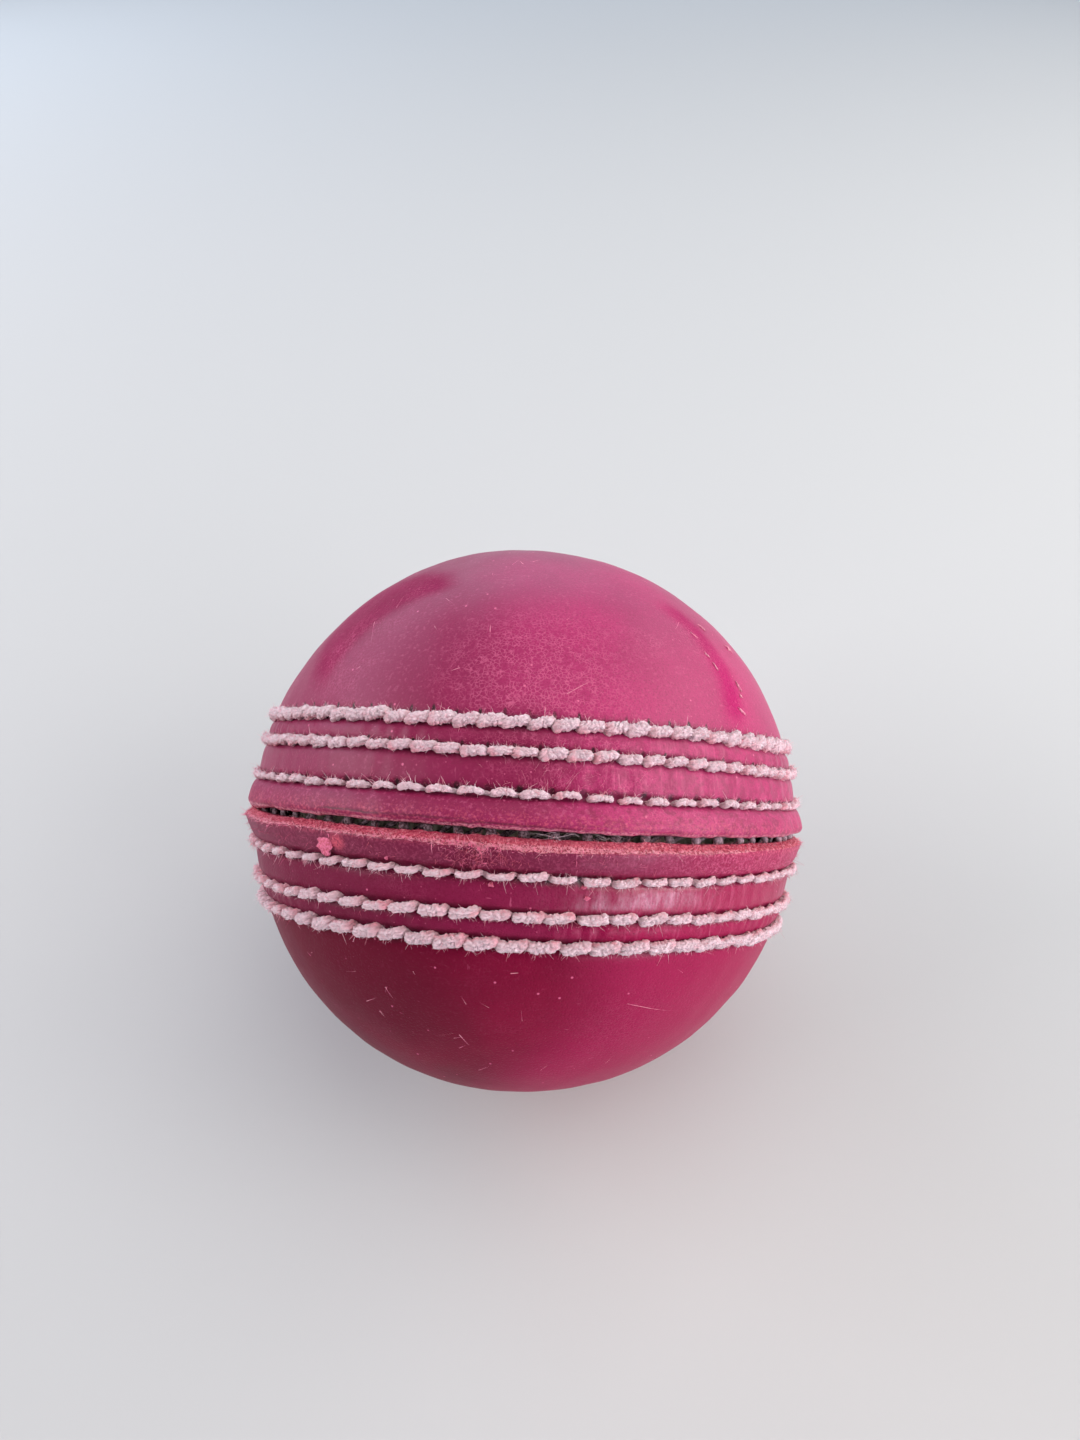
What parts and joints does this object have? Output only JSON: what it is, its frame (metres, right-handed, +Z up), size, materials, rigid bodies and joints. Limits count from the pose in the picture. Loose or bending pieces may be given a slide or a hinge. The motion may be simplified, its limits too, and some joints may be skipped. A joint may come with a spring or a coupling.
{
  "type": "cricket ball",
  "caption": "Used red leather cricket ball: moulded cups sewn edge to edge with rows of white stitches over a quilted cork and yarn centre.",
  "frame": {"origin": "centre of the ball", "axes": "+Z up, with the ball lying as pictured: the seam plane leans back from the front at -Y, so the seam crosses the ball level along +X and the pole of the upper cup points up and back"},
  "size_m": [0.0736, 0.0716, 0.0709],
  "materials": {
    "upper_leather": "worn waxed leather, semi-gloss",
    "lower_leather": "worn waxed leather, semi-gloss, darker",
    "stitch_thread": "fuzzy twisted thread, white stained pink",
    "lacing_thread": "dark waxed thread",
    "cork": "pressed cork grain",
    "yarn": "tightly wound worsted yarn"
  },
  "bodies": {
    "root": {"upper_cup": "upper_leather", "lower_cup": "lower_leather", "upper_outer_stitch_row": "stitch_thread", "upper_middle_stitch_row": "stitch_thread", "upper_inner_stitch_row": "stitch_thread", "lower_inner_stitch_row": "stitch_thread", "lower_middle_stitch_row": "stitch_thread", "lower_outer_stitch_row": "stitch_thread", "closing_lacing": "lacing_thread", "cork_core": "cork", "cork_wrap_1_a": "cork", "cork_wrap_1_b": "cork", "yarn_winding_1": "yarn", "cork_wrap_2_a": "cork", "cork_wrap_2_b": "cork", "yarn_winding_2": "yarn", "cork_wrap_3_a": "cork", "cork_wrap_3_b": "cork", "yarn_winding_3": "yarn", "cork_wrap_4_a": "cork", "cork_wrap_4_b": "cork", "yarn_winding_4": "yarn"}
  },
  "joints": []
}
